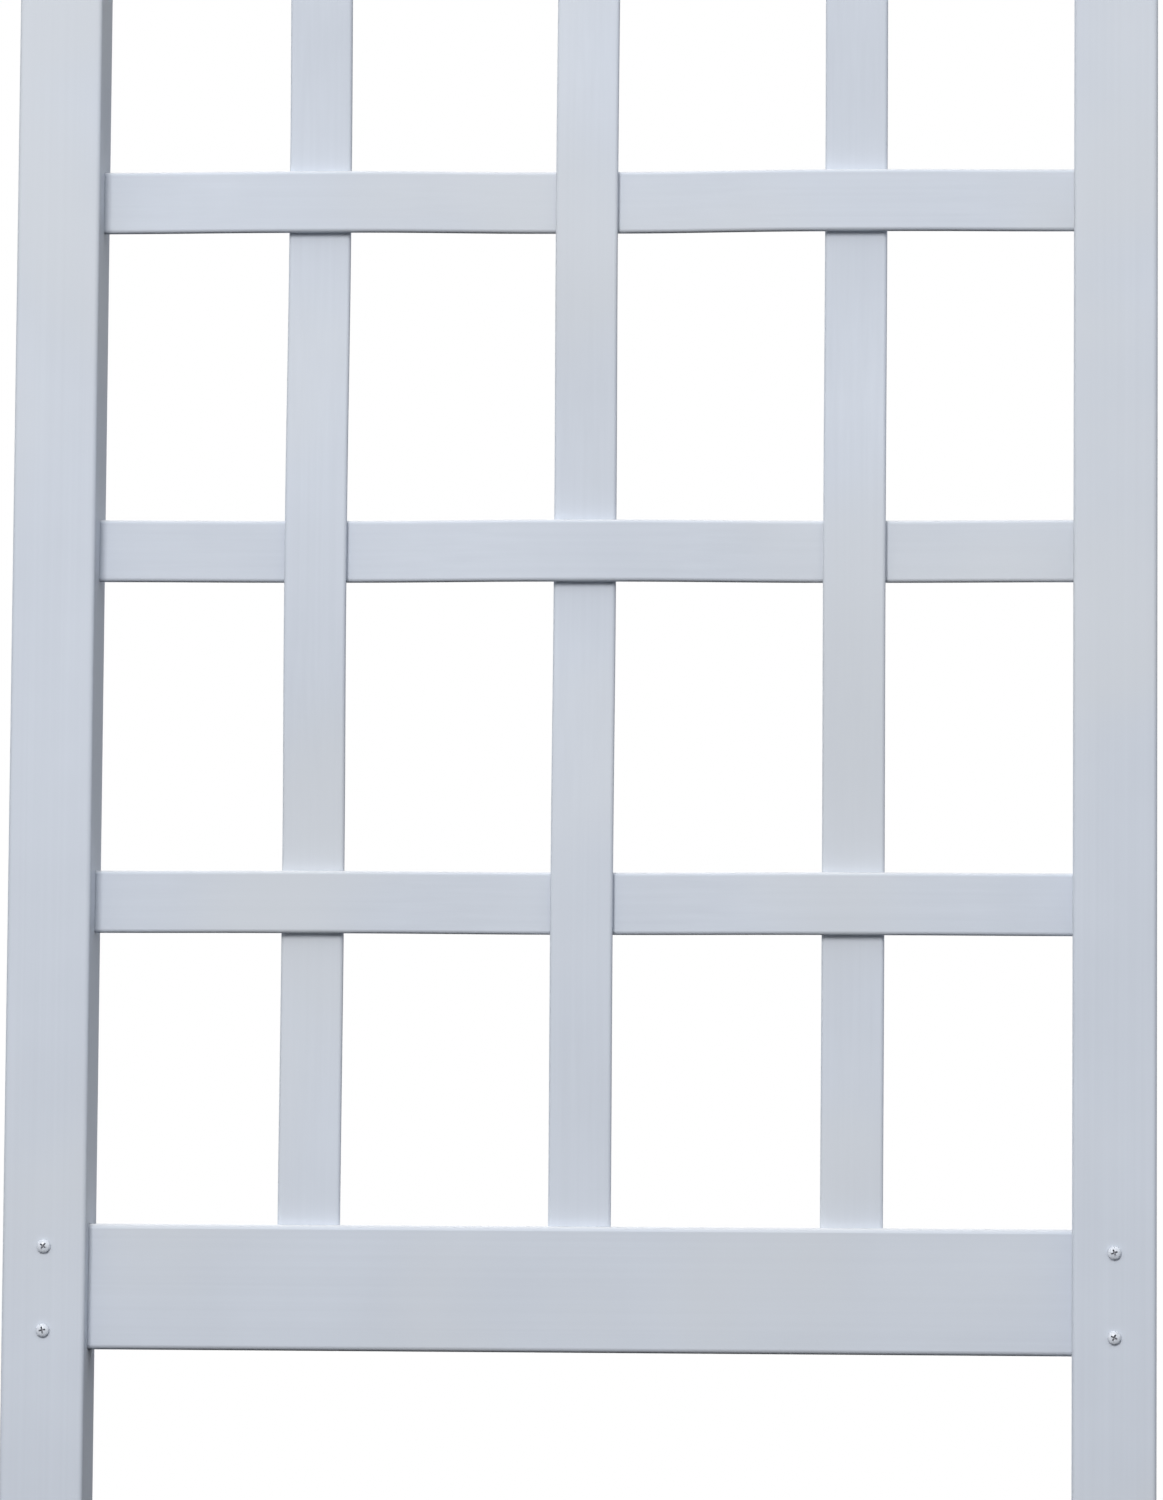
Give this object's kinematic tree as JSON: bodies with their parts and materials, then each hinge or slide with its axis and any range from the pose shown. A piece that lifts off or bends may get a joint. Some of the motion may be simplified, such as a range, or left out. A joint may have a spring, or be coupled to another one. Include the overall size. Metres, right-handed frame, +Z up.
{
  "type": "vinyl garden trellis",
  "caption": "White vinyl garden trellis: square hollow posts with low caps, deep rails and a lattice of flat slats woven over and under each other, standing on open-footed legs.",
  "frame": {"origin": "on the ground, midway between the posts and midway through their depth", "axes": "+Z up along the posts, +X to the right for someone facing the front, front (screw heads) towards -Y"},
  "size_m": [0.705, 0.0572, 1.905],
  "materials": {
    "white_vinyl": "satin extruded vinyl",
    "white_cap_vinyl": "satin moulded vinyl",
    "white_screw_paint": "satin white paint"
  },
  "bodies": {
    "root": {"left_post": "white_vinyl", "left_post_cap": "white_cap_vinyl", "right_post": "white_vinyl", "right_post_cap": "white_cap_vinyl", "bottom_rail": "white_vinyl", "top_rail": "white_vinyl", "horizontal_slat_1": "white_vinyl", "horizontal_slat_2": "white_vinyl", "horizontal_slat_3": "white_vinyl", "horizontal_slat_4": "white_vinyl", "horizontal_slat_5": "white_vinyl", "horizontal_slat_6": "white_vinyl", "vertical_slat_1": "white_vinyl", "vertical_slat_2": "white_vinyl", "vertical_slat_3": "white_vinyl", "left_bottom_lower_screw": "white_screw_paint", "left_bottom_upper_screw": "white_screw_paint", "left_top_lower_screw": "white_screw_paint", "left_top_upper_screw": "white_screw_paint", "right_bottom_lower_screw": "white_screw_paint", "right_bottom_upper_screw": "white_screw_paint", "right_top_lower_screw": "white_screw_paint", "right_top_upper_screw": "white_screw_paint"}
  },
  "joints": []
}
